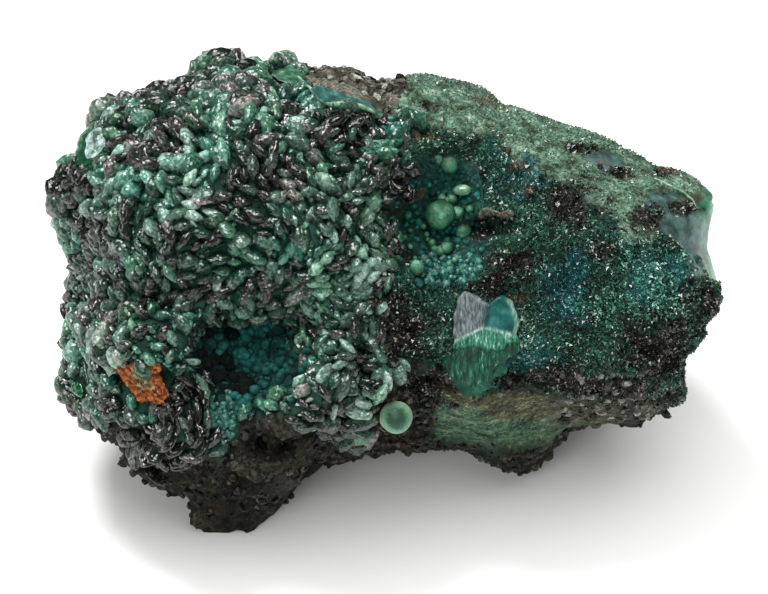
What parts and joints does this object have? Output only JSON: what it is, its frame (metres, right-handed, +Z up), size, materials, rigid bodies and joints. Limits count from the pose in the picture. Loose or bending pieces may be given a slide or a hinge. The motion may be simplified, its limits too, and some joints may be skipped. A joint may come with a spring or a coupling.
{
  "type": "chrysocolla specimen",
  "caption": "Hand-sized mineral specimen: broken dark rock crusted with blue-green chrysocolla blades and druse, with a pocket of pale green malachite.",
  "frame": {"origin": "middle of the specimen's box, on the flat broken base that it rests on", "axes": "+Z up; +X to the right along the specimen's length, seen from the crystal face; the crystal face looks to -Y and upwards"},
  "size_m": [0.0936, 0.0596, 0.0589],
  "materials": {
    "chrysocolla_rock": "glassy blue-green blades and sparkling druse on rough dark brown matrix",
    "malachite_crust": "silky pale green botryoidal crust"
  },
  "bodies": {
    "root": {"rock": "chrysocolla_rock", "pocket_crust": "malachite_crust"}
  },
  "joints": []
}
